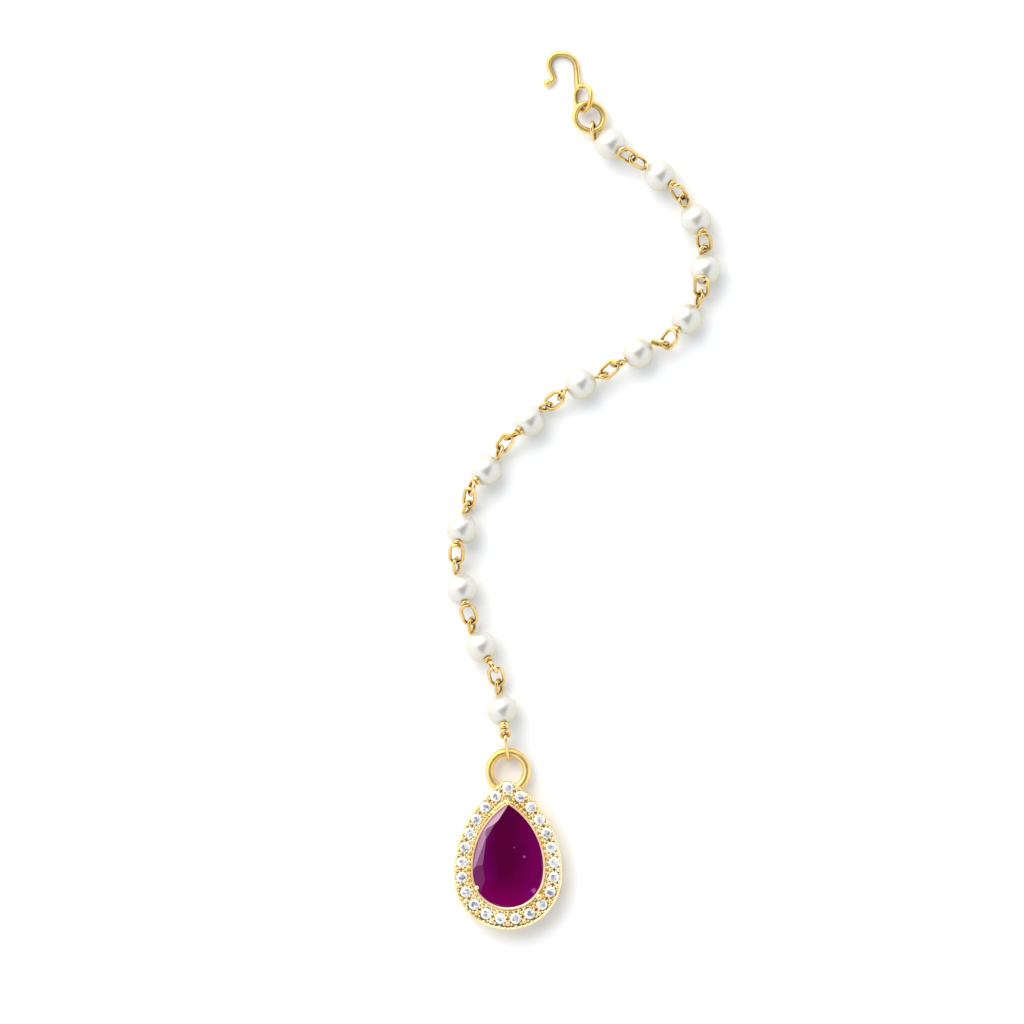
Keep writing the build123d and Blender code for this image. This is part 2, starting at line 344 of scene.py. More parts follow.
def crimsonFinish(look, middle):
    finish = Finish("crimsonStone")
    place = finish.millimetres(origin=middle)
    axes = finish.add("ShaderNodeSeparateXYZ", inputs={"Vector": place})
    across, upward = axes.out("X"), axes.out("Y")
    shift = (finish.noise(place, look["cloud"], 3.0) - 0.5) * look["cloudShift"]
    colour = look["deep"]
    for side, distance in (("left", 0 - across), ("right", across), ("foot", 0 - upward)):
        share = finish.fade(distance + shift, *look[side + "From"])
        colour = finish.blend(share, colour, look[side])
    # painted light: the crown facets that face the light take a lilac glow
    colour = finish.blend(finish.attribute("crown"), colour, look["crown"])
    # painted glows and glints: lighter spots laid into the stone's colour
    for x, y, z, spread, glow in look["paintedGlows"]:
        gap = finish.measure("DISTANCE", place, (x, y, z))
        colour = finish.blend(1 - finish.fade(gap, 0.0, spread), colour, glow)
    polish = finish.noise(place, look["polish"], 3.0)
    return finish.surface({
        "Base Color": colour,
        "Roughness": polish * 0.03 + look["roughness"],
        "IOR": look["ior"],
    })


clearLook = {
    "glint": 0.30,  # size of one painted glint in millimetres
    # painted light: how much of it is from the glints, the facets and the stone's rim
    "paintedLightShares": (0.62, 0.22, 0.45),
    "rimFrom": (0.45, 0.95),
    # painted light: how it comes back from the facets below, from dark to bright
    "stops": [
        (0.00, (0.09, 0.10, 0.12, 1)),
        (0.20, (0.26, 0.27, 0.33, 1)),
        (0.38, (0.46, 0.46, 0.49, 1)),
        (0.56, (0.66, 0.64, 0.60, 1)),
        (0.72, (0.88, 0.86, 0.82, 1)),
    ],
    "polish": 6.0,
    "roughness": 0.03,
    "shader": {"IOR": 1.9, "Coat Weight": 0.6, "Coat Roughness": 0.02, "Coat IOR": 1.9},
}


def clearFinish(look):
    finish = Finish("clearStone")
    place = finish.millimetres()
    rim = finish.fade(finish.attribute("rim"), *look["rimFrom"])
    glints = finish.cells(place, 1 / look["glint"], "Color")
    tone = finish.add("ShaderNodeSeparateColor", inputs={"Color": glints})
    glintShare, facetShare, rimShare = look["paintedLightShares"]
    # painted light: random glints, a fixed brightness per facet and a brighter rim make the stone's
    # colour
    light = tone * glintShare + finish.attribute("facetTone") * facetShare + rim * rimShare
    colour = finish.add("ShaderNodeValToRGB", {"stops": look["stops"]}, {"Fac": light})
    polish = finish.noise(place, look["polish"])
    return finish.surface({
        "Base Color": colour,
        "Roughness": polish * 0.03 + look["roughness"],
        **look["shader"],
    })


# places and outlines, in millimetres from the middle of the bail ring
stoneOutline = {"top": -4.52, "bottom": -18.69, "foot": 4.80, "tip": 0.0, "side": 10.3}
haloOutline = {"top": -1.40, "bottom": -21.75, "foot": 7.45, "tip": 1.35, "side": 15.0}
rowOutline = {"top": -2.30, "bottom": -20.25, "foot": 6.33, "tip": 0.50, "side": 13.7}
outlineSteps = {"tip": 10, "side": 34, "foot": 40}

stoneLow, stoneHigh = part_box("centre_stone")
ringMiddle = Vector(((stoneLow.x + stoneHigh.x) / 2, stoneLow.y - stoneOutline["bottom"] * mm, 0))


def spot(x, y, z):
    return ringMiddle + Vector((x, y, z)) * mm


# A pear is a round tip and a round foot joined by two long side arcs. The stations run
# clockwise from its top, each with its way out.
def pearStations(outline, scale=1.0):
    middle = (outline["top"] + outline["bottom"]) / 2
    top = middle + (outline["top"] - middle) * scale
    bottom = middle + (outline["bottom"] - middle) * scale
    footRadius, tipRadius, sideRadius = (outline[part] * scale for part in ("foot", "tip", "side"))
    footY, tipY = bottom + footRadius, top - tipRadius
    height = tipY - footY
    toFoot, toTip = sideRadius - footRadius, sideRadius - tipRadius
    rise = (toFoot ** 2 - toTip ** 2 + height ** 2) / (2 * height)
    sideX = -sqrt(toFoot ** 2 - rise ** 2)
    sideY = footY + rise
    footAngle = atan2(footY - sideY, -sideX)
    tipAngle = atan2(tipY - sideY, -sideX)
    arcs = [
        (0, tipY, tipRadius, pi / 2, tipAngle, outlineSteps["tip"]),
        (sideX, sideY, sideRadius, tipAngle, footAngle, outlineSteps["side"]),
        (0, footY, footRadius, footAngle, -pi / 2, outlineSteps["foot"]),
    ]
    right = []
    for centreX, centreY, radius, first, last, steps in arcs:
        for step in range(steps):
            angle = first + (last - first) * step / steps
            right.append((centreX + radius * cos(angle), centreY + radius * sin(angle),
                          cos(angle), sin(angle)))
    left = [(-x, y, -outX, outY) for x, y, outX, outY in reversed(right[1:])]
    return right + [(0, bottom, 0, -1)] + left


def pearRing(outline, grow, z, scale=1.0):
    return [spot(x + outX * grow, y + outY * grow, z)
            for x, y, outX, outY in pearStations(outline, scale)]


# round wire along each line
wireTree = GeometryTree("sweepWire", {
    "Line": "Geometry", "Wire": "Float", "Around": "Int", "Finish": "Material",
})
section = wireTree.add("GeometryNodeCurvePrimitiveCircle", inputs={
    "Resolution": wireTree.input("Around"), "Radius": wireTree.input("Wire") / 2})
tube = wireTree.add("GeometryNodeCurveToMesh", inputs={
    "Curve": wireTree.input("Line"), "Profile Curve": section,
    "Scale": wireTree.add("GeometryNodeInputRadius"), "Fill Caps": True})
wireTree.close(wireTree.add("GeometryNodeSetShadeSmooth", inputs={"Geometry": tube}))

# pieces at even steps along a row, each turned a little by chance
rowTree = GeometryTree("setAlongRow", {
    "Row": "Geometry", "Piece": "Object", "Count": "Int", "Start": "Float", "Turn": "Float",
    "Tilt": "Float", "Seed": "Int", "Finish": "Material",
})
seats = rowTree.add("GeometryNodePoints", inputs={"Count": rowTree.input("Count")})
along = rowTree.add("GeometryNodeInputIndex") + rowTree.input("Start")
onRow = rowTree.add("GeometryNodeSampleCurve", {"mode": "FACTOR", "use_all_curves": True}, {
    "Curves": rowTree.input("Row"), "Factor": along / rowTree.input("Count")}, "Position")
placed = rowTree.add("GeometryNodeSetPosition", inputs={"Geometry": seats, "Position": onRow})
facing = rowTree.add("FunctionNodeAlignRotationToVector", {"axis": "X", "pivot_axis": "Z"},
                     {"Vector": onRow.out("Tangent")})
pieceShape = rowTree.add("GeometryNodeObjectInfo", inputs={
    "Object": rowTree.input("Piece")}, output="Geometry")
pieces = rowTree.add("GeometryNodeInstanceOnPoints", inputs={
    "Points": placed, "Instance": pieceShape, "Rotation": facing})
chance = rowTree.add("FunctionNodeRandomValue", {"data_type": "FLOAT_VECTOR"}, {
    0: (-1, -1, -1), 1: (1, 1, 1), "Seed": rowTree.input("Seed")})
most = rowTree.add("ShaderNodeCombineXYZ", inputs={
    "X": rowTree.input("Tilt"), "Y": rowTree.input("Tilt"), "Z": rowTree.input("Turn")})
wobble = rowTree.add("ShaderNodeVectorMath", {"operation": "MULTIPLY"}, {0: chance, 1: most})
rowTree.close(rowTree.add("GeometryNodeRotateInstances", inputs={
    "Instances": pieces, "Rotation": wobble, "Local Space": True}))

# one piece on each point, turned and sized as the point says
pointTree = GeometryTree("setOnPoints", {
    "Places": "Geometry", "Piece": "Object", "Finish": "Material",
})
turn, size = (pointTree.add("GeometryNodeInputNamedAttribute", {"data_type": kind}, {"Name": name})
              for kind, name in (("FLOAT_VECTOR", "turn"), ("FLOAT", "size")))
pointShape = pointTree.add("GeometryNodeObjectInfo", inputs={
    "Object": pointTree.input("Piece")}, output="Geometry")
pointTree.close(pointTree.add("GeometryNodeInstanceOnPoints", inputs={
    "Points": pointTree.input("Places"), "Instance": pointShape,
    "Rotation": turn, "Scale": size}))
print("geometry trees built")


def curveLines(lines):
    # lines are (points, closed) or (points, closed, swells)
    curve = bpy.data.curves.new("lines", "CURVE")
    curve.dimensions = "3D"
    for points, closed, *swells in lines:
        factors = swells[0] if swells else [1.0] * len(points)
        spline = curve.splines.new("POLY")
        spline.points.add(len(points) - 1)
        spline.use_cyclic_u = closed
        for knot, point, factor in zip(spline.points, points, factors):
            knot.co = (*point, 1)
            knot.radius = factor
    return curve


def pointCloud(places):
    # places are (point, way the piece's own Z goes, size)
    mesh = bpy.data.meshes.new("places")
    mesh.from_pydata([point for point, way, size in places], [], [])
    mesh.attributes.new("turn", "FLOAT_VECTOR", "POINT")
    mesh.attributes.new("size", "FLOAT", "POINT")
    for index, (point, way, size) in enumerate(places):
        mesh.attributes["turn"].data[index].vector = Vector(way).to_track_quat("Z", "Y").to_euler()
        mesh.attributes["size"].data[index].value = size
    return mesh


def finishMesh(build, smooth=True):
    # merges, turns every face outwards and makes a mesh of a bmesh
    bmesh.ops.remove_doubles(build, verts=build.verts, dist=1e-8)
    bmesh.ops.recalc_face_normals(build, faces=build.faces)
    for face in build.faces:
        face.smooth = smooth
    mesh = bpy.data.meshes.new("shape")
    build.to_mesh(mesh)
    build.free()
    return mesh


def keepValues(mesh, name, domain, values):
    mesh.attributes.new(name, "FLOAT", domain).data.foreach_set("value", values)


def addPiece(name, mesh, replaces=(), sharpAngle=None):
    build = bmesh.new()
    build.from_mesh(mesh)
    bmesh.ops.recalc_face_normals(build, faces=build.faces)
    build.to_mesh(mesh)
    build.free()
    while mesh.materials[0] is None:  # left empty by the trees
        mesh.materials.pop(index=0)
    if sharpAngle:
        mesh.set_sharp_from_angle(angle=radians(sharpAngle))
    mesh.name = name
    piece = addObject(name, mesh)
    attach(piece, "root")
    if replaces:
        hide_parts(*replaces)


gold = goldFinish("polishedGold", goldLook)
thickGold = goldFinish("thickGold", thickGoldLook)

wireShape = {
    "eyeWire": 0.50,
    "shankWire": 0.46,
    "around": 16,
    "arcSteps": 12,  # steps round each end of a loop
    "neckAbove": 0.50,  # pearl's surface to the upper eye
    "neckBelow": 0.36,  # pearl's surface to a lower eye that has no wrap
    "wrapSeat": 0.26,  # pearl's surface to the first turn of a wrap
    "wrapPitch": 0.45,
    "wrapRadius": 0.43,
    "eyeAfterWrap": 0.38,
    "solder": 0.27,
}

# Where two loops hook into each other: x, y, z and how far each loop runs past.
crossings = {
    "ring-1": (11.55, 88.40, 2.30, 0.38),
    "1-2": (17.05, 83.95, 2.25, 0.42),
    "2-3": (23.85, 78.60, 1.15, 0.34),
    "3-4": (26.95, 71.75, 1.60, 0.42),
    "4-5": (26.50, 65.40, 1.70, 0.39),
    "5-6": (21.60, 58.55, 2.00, 0.47),
    "6-link": (14.70, 55.70, 2.55, 0.42),
    "link-7": (13.20, 54.35, 2.05, 0.42),
    "7-link": (7.15, 51.35, 2.30, 0.39),
    "link-8": (5.55, 50.20, 1.35, 0.37),
    "8-link": (0.10, 45.65, 2.55, 0.44),
    "link-9": (-0.95, 44.20, 1.40, 0.39),
    "9-link": (-5.15, 38.35, 2.35, 0.37),
    "link-10": (-5.40, 36.60, 1.25, 0.37),
    "10-11": (-7.10, 28.80, 1.70, 0.34),
    "11-12": (-5.05, 20.55, 1.80, 0.39),
    "12-link": (-1.85, 13.90, 2.55, 0.34),
    "link-13": (-1.30, 12.15, 1.45, 0.39),
    "13-link": (-0.35, 4.85, 2.90, 0.29),
    "link-bail": (-0.05, 2.10, 1.05, 0.50),
}

# One row for each pin, from the hook down: heading and pitch of the bore, turns of the
# wrap, then crossing, width and roll of the upper eye and of the lower one.
pins = [
    (-23, 28, 0, "ring-1", 2.30, 73, "1-2", 2.25, 25),
    (-36, 26, 1, "1-2", 2.05, 32, "2-3", 2.15, 26),
    (-62, 32, 1, "2-3", 2.20, 44, "3-4", 2.40, 21),
    (-86, 31, 0, "3-4", 2.00, 45, "4-5", 2.35, 8),
    (-129, 29, 1, "4-5", 2.05, 113, "5-6", 2.45, 23),
    (-147, 18, 0, "5-6", 2.15, 74, "6-link", 1.90, -60),
    (-156, 13, 0, "link-7", 1.95, -74, "7-link", 1.95, 71),
    (-136, 31, 1, "link-8", 1.95, 56, "8-link", 1.95, -73),
    (-133, 32, 1, "link-9", 1.90, -68, "9-link", 2.05, 63),
    (-105, 33, 1, "link-10", 1.95, 58, "10-11", 2.30, 4),
    (-75, 29, 1, "10-11", 1.95, 61, "11-12", 2.35, 7),
    (-60, 29, 1, "11-12", 1.95, 59, "12-link", 1.90, 77),
    (-82, 31, 2, "link-13", 1.95, 60, "13-link", 1.60, 0),
]
bentBack = {1: (15.40, 85.00, 4.25), 4: (26.50, 67.65, 4.45)}  # lower eyes laid over their pearls

links = {
    "link_06": ("6-link", "link-7", 2.10, 14),
    "link_07": ("7-link", "link-8", 2.30, 2),
    "link_08": ("8-link", "link-9", 2.10, -2),
    "link_09": ("9-link", "link-10", 2.00, 8),
    "link_12": ("12-link", "link-13", 2.40, 6),
    "bail_link": ("13-link", "link-bail", 2.40, 90),
}


def direction(heading, pitch):
    heading, pitch = radians(heading), radians(pitch)
    return Vector((cos(heading) * cos(pitch), sin(heading) * cos(pitch), sin(pitch)))


def arcPoints(centre, first, second, steps, whole=pi):
    # half a turn or more from first, by way of second
    return [centre + first * cos(whole * step / steps) + second * sin(whole * step / steps)
            for step in range(steps + 1)]


# Centreline of an oval of wire that touches start and end: two half rounds and two runs.
def ovalLine(start, end, width, roll, wire=wireShape["eyeWire"]):
    along = (end - start).normalized()
    level = Vector((0, 0, 1)).cross(along).normalized()
    across = level * cos(radians(roll)) + along.cross(level) * sin(radians(roll))
    radius = (width - wire) * mm / 2
    side = across * radius
    steps = wireShape["arcSteps"]
    farArc = arcPoints(end - along * radius, side, along * radius, steps)
    nearArc = arcPoints(start + along * radius, -side, -along * radius, steps)
    return farArc + nearArc


def crossingPoint(name):
    return spot(*crossings[name][:3])


def farEnd(start, name):
    point = crossingPoint(name)
    return point + (point - start).normalized() * crossings[name][3] * mm


def pinLines(number, centre, pin):
    heading, pitch, turns, upper, upperWidth, upperRoll, lower, lowerWidth, lowerRoll = pin
    down = direction(heading, pitch)
    radius = pearlShape["radius"]
    firstTurn = radius + wireShape["wrapSeat"]
    mouth = radius + wireShape["neckBelow"]
    if turns:
        mouth = firstTurn + wireShape["wrapPitch"] * (turns - 1) + wireShape["eyeAfterWrap"]
    top = centre - down * (radius + wireShape["neckAbove"]) * mm
    bottom = centre + down * mouth * mm
    eyeStart = spot(*bentBack[number]) if number in bentBack else bottom
    eyes = [ovalLine(top, farEnd(top, upper), upperWidth, upperRoll),
            ovalLine(eyeStart, farEnd(eyeStart, lower), lowerWidth, lowerRoll)]
    shanks = [[top, bottom]]
    solder = [top, bottom]
    if number in bentBack:
        joint = min(eyes[1], key=lambda point: (point - bottom).length)
        shanks.append([bottom, joint])
        solder.append(joint)
    sideways = down.orthogonal().normalized() * wireShape["wrapRadius"] * mm
    upright = down.cross(sideways)
    for turn in range(turns):
        middle = centre + down * (firstTurn + wireShape["wrapPitch"] * turn) * mm
        eyes.append(arcPoints(middle, sideways, upright, wireShape["arcSteps"] * 2, 2 * pi)[:-1])
    return eyes, shanks, solder, down


def sweep(lines, wire=wireShape["eyeWire"], around=wireShape["around"], finish=gold):
    mesh = wireTree.run(curveLines(lines), {"Wire": wire * mm, "Around": around, "Finish": finish})
    # how far each place on the wire faces the middle of its loop, where the painted shade goes
    inner = []
    for points, *rest in lines:
        middle = sum(points, Vector()) / len(points)
        for point in points:
            inward = (middle - point).normalized()
            for vertex in mesh.vertices[len(inner):len(inner) + around]:
                inner.append((vertex.co - point).normalized().dot(inward))
    keepValues(mesh, "inner", "POINT", inner)
    return mesh


def beadMesh(beads, divisions=2):
    # beads are (x, y, z, radius)
    build = bmesh.new()
    for x, y, z, radius in beads:
        bmesh.ops.create_icosphere(build, subdivisions=divisions, radius=radius * mm,
                                   matrix=Matrix.Translation(Vector((x, y, z)) * mm))
    return finishMesh(build)


def onPoints(places, piece, finish):
    return pointTree.run(pointCloud(places), {"Piece": piece, "Finish": finish})


def numbered(stem):
    return [f"{stem}_{number:02d}" for number in range(1, len(pins) + 1)]


pearlShape = {"radius": 2.115, "bore": 0.36, "boreLip": 0.05, "rows": 40, "around": 72}
pinEyes, pinShanks, pinSolder, pearlPlaces = [], [], [], []
for number, pin in enumerate(pins, 1):
    low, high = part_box(f"pearl_{number:02d}")
    centre = (low + high) / 2
    eyes, shanks, solder, down = pinLines(number, centre, pin)
    pinEyes += [(points, True) for points in eyes]
    pinShanks += [(points, False) for points in shanks]
    pinSolder += [(point, down, wireShape["solder"]) for point in solder]
    pearlPlaces.append((centre, down, 1.0))

ball = addObject("ball", beadMesh([(0, 0, 0, 1.0)], 3))
addPiece("eyePins", sweep(pinEyes), numbered("eye_pin"))
addPiece("eyePinShanks", sweep(pinShanks, wireShape["shankWire"]), sharpAngle=50)
addPiece("eyePinSolder", onPoints(pinSolder, ball, gold))
print("13 eye pins swept")

linkLines = []
for upper, lower, width, roll in links.values():
    start = farEnd(crossingPoint(lower), upper)
    end = farEnd(crossingPoint(upper), lower)
    linkLines.append((ovalLine(start, end, width, roll), True))
addPiece("ovalLinks", sweep(linkLines), list(links))
print("oval links swept")


ringShape = {
    "centre": (11.15, 89.60, 1.61), "heading": -20, "pitch": -10, "roll": -10,
    "length": 4.93, "width": 4.60, "wire": 0.85, "around": 24,
}
hookShape = {
    "wire": 0.795,
    # from its foot to its tip, with the radius of each bend between
    "corners": [(9.62, 93.45), (9.25, 98.30), (4.86, 98.30), (6.40, 94.80), (5.41, 94.33)],
    "bends": [1.95, 1.42, 0.45],
    "tipBall": 0.56,
    "swell": 1.25,  # of the wire, where the shank meets the eye
    "swellLength": 2.60,
    "step": 0.15,  # along the wire
    "around": 24,
}
hookEyeShape = {
    "centre": (10.32, 92.25, 1.36), "heading": -92, "pitch": 1, "roll": 43,
    "length": 4.10, "width": 3.50, "wire": 0.65, "around": 24,
    "end": (9.75, 93.75, 0.95), "endBall": 0.42,
}


def ovalMesh(shape):
    reach = direction(shape["heading"], shape["pitch"]) * (shape["length"] - shape["wire"]) * mm / 2
    centre = spot(*shape["centre"])
    line = ovalLine(centre - reach, centre + reach, shape["width"], shape["roll"], shape["wire"])
    return sweep([(line, True)], shape["wire"], shape["around"], thickGold)


def roundedPath(corners, bends, step):
    # straight runs with a round bend at each inner corner, as even points
    points = [corners[0]]
    for before, corner, after, bend in zip(corners, corners[1:], corners[2:], bends):
        back = (before - corner).normalized()
        ahead = (after - corner).normalized()
        half = back.angle(ahead) / 2
        reach = bend / tan(half)
        centre = corner + (back + ahead).normalized() * bend / sin(half)
        first = corner + back * reach - centre
        last = corner + ahead * reach - centre
        whole = first.angle(last)
        count = max(2, round(bend * whole / step))
        for index in range(count + 1):
            angle = whole * index / count
            bent = first * sin(whole - angle) + last * sin(angle)
            points.append(centre + bent / sin(whole))
    points.append(corners[-1])
    even = [points[0]]
    for point in points[1:]:
        start = even[-1]
        pieces = max(1, round((point - start).length / step))
        even += [start.lerp(point, index / pieces) for index in range(1, pieces + 1)]
    return even


addPiece("jumpRing", ovalMesh(ringShape), ["jump_ring"])

height = hookShape["wire"] / 2
hookCorners = [spot(*corner, height) for corner in hookShape["corners"]]
hookBends = [bend * mm for bend in hookShape["bends"]]
hookLine = roundedPath(hookCorners, hookBends, hookShape["step"] * mm)
swells = []
for point in hookLine:
    share = max(0.0, 1 - (point - hookLine[0]).length / (hookShape["swellLength"] * mm))
    lift = (hookShape["swell"] - 1) * share
    swells.append(1 + lift)
    point.z += lift * height * mm
hookWire = sweep([(hookLine, False, swells)], hookShape["wire"], hookShape["around"], thickGold)
addPiece("hookWire", hookWire, ["hook"], sharpAngle=50)
addPiece("hookEye", ovalMesh(hookEyeShape))
hookBalls = [
    (spot(*hookShape["corners"][-1], hookShape["tipBall"]), (0, 0, 1), hookShape["tipBall"]),
    (spot(*hookEyeShape["end"]), (0, 0, 1), hookEyeShape["endBall"]),
]
addPiece("hookBalls", onPoints(hookBalls, ball, thickGold))
print("jump ring and hook made")


def pearlMesh(shape):
    # half a section from one mouth of the bore to the other, spun round the bore
    radius, bore, lip, rows = (shape[part] for part in ("radius", "bore", "boreLip", "rows"))
    mouth = (bore + lip) / radius
    section = [(bore, radius * -0.9), (bore, lip - sqrt(radius ** 2 - bore ** 2))]
    for row in range(rows + 1):
        angle = -pi / 2 + mouth + (pi - 2 * mouth) * row / rows
        section.append((radius * cos(angle), radius * sin(angle)))
    section += [(x, -z) for x, z in reversed(section[:2])]
    build = bmesh.new()
    corners = [build.verts.new(Vector((x, 0, z)) * mm) for x, z in section]
    edges = [build.edges.new(pair) for pair in zip(corners, corners[1:] + corners[:1])]
    bmesh.ops.spin(build, geom=corners + edges, cent=(0, 0, 0), axis=(0, 0, 1),
                   angle=2 * pi, steps=shape["around"])
    return finishMesh(build)


onePearl = addObject("onePearl", pearlMesh(pearlShape))
strung = onPoints(pearlPlaces, onePearl, pearlFinish(pearlLook))
# painted shade: how far each place lies down the side of its pearl, most to the lower right, away from
# the light
downShare, rightShare, footShare = pearlLook["shadedSideShares"]
perPearl = len(strung.vertices) // len(pearlPlaces)
under = []
for index, vertex in enumerate(strung.vertices):
    side = (vertex.co - pearlPlaces[index // perPearl][0]).normalized()
    under.append(downShare * (1 - side.z) + rightShare * side.x - footShare * side.y)
keepValues(strung, "under", "POINT", under)
addPiece("pearls", strung, numbered("pearl"), sharpAngle=50)
print("13 pearls set on their pins")


settingShape = {
    # rows of the opening, the plate's edge and the bezel: grow, height and any scale
    "rows": [
        (stoneOutline, [(0, 0, 0.42)]),
        (haloOutline, [
            (-0.45, 0), (-0.28, 0.07), (-0.10, 0.22), (-0.01, 0.45), (-0.01, 2.82),
            (-0.03, 3.04), (-0.09, 3.15), (-0.17, 3.19), (-0.25, 3.17), (-0.34, 3.09)]),
        (stoneOutline, [
            (0.62, 3.09), (0.46, 3.15), (0.38, 3.26), (0.33, 3.42), (0.28, 3.56), (0.22, 3.65),
            (0.15, 3.70), (0.07, 3.68), (0, 3.60, 0.998), (0, 3.48, 1.003), (0, 3.24, 1.003)]),
    ],
    "bailRadius": 2.57,
    "bailWire": 1.12,
    "bailHeight": 1.30,
    "bailSteps": (96, 24),
    "seatDepth": 0.72,
    "seatRadius": 0.81,
    "seatFoot": 0.10,  # radius at the seat's foot
    "seatMouth": 0.6,  # how far the bur is straight above the cone
    "seatTop": 3.16,
    "rosyAbove": 3.2,  # the bezel's rosy rim: its height, and how near the stone it lies
    "rosyReach": 0.33,
    "bailSkin": 0.03,  # how near the bail's round wire a face counts as polished
    "polishedBelow": 3.0,  # as do the plate's sides below this
}


def loftRings(rings):
    build = bmesh.new()
    loops = [[build.verts.new(point) for point in ring] for ring in rings]
    count = len(loops[0])
    for ring, following in zip(loops, loops[1:] + loops[:1]):
        for index in range(count):
            after = (index + 1) % count
            build.faces.new((ring[index], ring[after], following[after], following[index]))
    return build


def torusRings(shape):
    around, across = shape["bailSteps"]
    up = Vector((0, 0, shape["bailWire"] / 2 * mm))
    rings = []
    for step in range(around):
        outward = Vector((cos(2 * pi * step / around), sin(2 * pi * step / around), 0))
        middle = spot(0, 0, shape["bailHeight"]) + outward * shape["bailRadius"] * mm
        rings.append(arcPoints(middle, outward * up.z, up, across, 2 * pi)[:-1])
    return rings


def seatMesh(shape):
    # bur that drills one seat: a straight mouth above a cone
    build = bmesh.new()
    bmesh.ops.create_cone(build, cap_ends=True, segments=24, radius1=shape["seatFoot"] * mm,
                          radius2=shape["seatRadius"] * mm, depth=shape["seatDepth"] * mm,
                          matrix=Matrix.Translation((0, 0, -shape["seatDepth"] / 2 * mm)))
    cap = max(build.faces, key=lambda face: face.calc_center_median().z)
    raised = bmesh.ops.extrude_face_region(build, geom=[cap])
    bmesh.ops.delete(build, geom=[cap], context="FACES")
    for vert in raised["geom"]:
        if isinstance(vert, bmesh.types.BMVert):
            vert.co.z += shape["seatMouth"] * mm
    return finishMesh(build, smooth=False)


haloRow = (rowOutline, 0.0, 23)  # outline, how far outside it, and how many stand on it


def alongRow(row, piece, finish, height, start=0.0, turn=0.0, tilt=0.0, seed=1):
    outline, grow, count = row
    return rowTree.run(curveLines([(pearRing(outline, grow, height), True)]), {
        "Piece": piece, "Count": count, "Start": start, "Turn": turn, "Tilt": radians(tilt),
        "Seed": seed, "Finish": finish})


settingGold = goldFinish("cutGold", settingGoldLook)
bezelGold = goldFinish("bezelGold", bezelGoldLook)

plateRings = [pearRing(outline, *row) for outline, rows in settingShape["rows"] for row in rows]
plate = finishMesh(loftRings(plateRings))
bail = finishMesh(loftRings(torusRings(settingShape)))
for mesh in (plate, bail):
    mesh.materials.append(settingGold)
bur = addObject("bur", seatMesh(settingShape))
body = addObject("settingBody", plate)
bailTool = addObject("bailTool", bail)
seatTool = addObject("seatTool", alongRow(haloRow, bur, settingGold, settingShape["seatTop"]))
for tool, operation in ((bailTool, "UNION"), (seatTool, "DIFFERENCE")):
    cut = body.modifiers.new(operation, "BOOLEAN")
    cut.operation = operation
    cut.object = tool
    cut.solver = "EXACT"
settingMesh = bakeMesh(body)
for item in (body, bailTool, seatTool):
    bpy.data.objects.remove(item)

# rosy gold for the bezel's rubbed-over rim, and a polish on the bail and the sides
settingMesh.materials.append(bezelGold)
settingMesh.materials.append(thickGold)
rimStations = pearStations(stoneOutline)
for face in settingMesh.polygons:
    place = (face.center - ringMiddle) / mm
    bailGap = hypot(hypot(place.x, place.y) - settingShape["bailRadius"],
                    place.z - settingShape["bailHeight"]) - settingShape["bailWire"] / 2
    rimGap = min(hypot(place.x - x, place.y - y) for x, y, outX, outY in rimStations)
    onSide = place.z < settingShape["polishedBelow"] and face.normal.z < 0.5
    if place.z > settingShape["rosyAbove"] and rimGap < settingShape["rosyReach"]:
        face.material_index = 1
    elif abs(bailGap) < settingShape["bailSkin"] or onSide:
        face.material_index = 2
addPiece("settingBody", settingMesh, ["setting"], sharpAngle=35)
print("setting lofted and drilled,", len(settingMesh.polygons), "faces")


brilliantShape = {
    "radius": 0.785,
    "table": 0.56,  # of the radius
    "middle": 0.80,
    "crown": 0.27,  # heights in millimetres
    "girdle": 0.05,
    "pavilion": 0.62,
    "lower": 0.30,
    "height": 3.19,  # top of the girdle above the floor
}


def brilliantMesh(shape):
    # eight-fold round brilliant: table, stars, kites, girdle, lower facets and culet
    build = bmesh.new()
    radius = shape["radius"] * mm
    crown, girdle, pavilion = (shape[part] * mm for part in ("crown", "girdle", "pavilion"))
    cosine = cos(pi / 8)

    def ring(share, z, count, offset):
        angles = [2 * pi * (index + offset) / count for index in range(count)]
        return [build.verts.new((radius * share * cos(angle), radius * share * sin(angle), z))
                for angle in angles]

    slope = (shape["middle"] * cosine - shape["table"]) / (1 - shape["table"])
    table = ring(shape["table"], crown, 8, 0)
    middle = ring(shape["middle"], crown * (1 - slope), 8, 0.5)
    top = ring(1, 0, 16, 0)
    bottom = ring(1, -girdle, 16, 0)
    depth = -girdle - pavilion
    lower = ring(shape["lower"], depth + pavilion * shape["lower"] * cosine, 8, 0.5)
    culet = build.verts.new((0, 0, depth))
    build.faces.new(table)
    for index in range(8):
        after, before = (index + 1) % 8, index - 1
        edge, beyond, ahead = 2 * index, 2 * index + 1, (2 * index + 2) % 16
        build.faces.new((table[index], middle[index], table[after]))
        build.faces.new((table[index], middle[before], top[edge], middle[index]))
        build.faces.new((middle[index], top[edge], top[beyond]))
        build.faces.new((middle[index], top[beyond], top[ahead]))
        build.faces.new((top[edge], bottom[edge], bottom[beyond], top[beyond]))
        build.faces.new((top[beyond], bottom[beyond], bottom[ahead], top[ahead]))
        build.faces.new((bottom[edge], lower[index], bottom[beyond]))
        build.faces.new((bottom[beyond], lower[index], bottom[ahead]))
        build.faces.new((bottom[edge], lower[before], culet, lower[index]))
    mesh = finishMesh(build, smooth=False)
    # painted light: one fixed brightness for each facet, so that neighbours differ
    facetLights = [(index * 0.618034 + 0.13) % 1 for index in range(len(mesh.polygons))]
    keepValues(mesh, "facetTone", "FACE", facetLights)
    keepValues(mesh, "rim", "POINT", [hypot(*vertex.co[:2]) / radius for vertex in mesh.vertices])
    return mesh


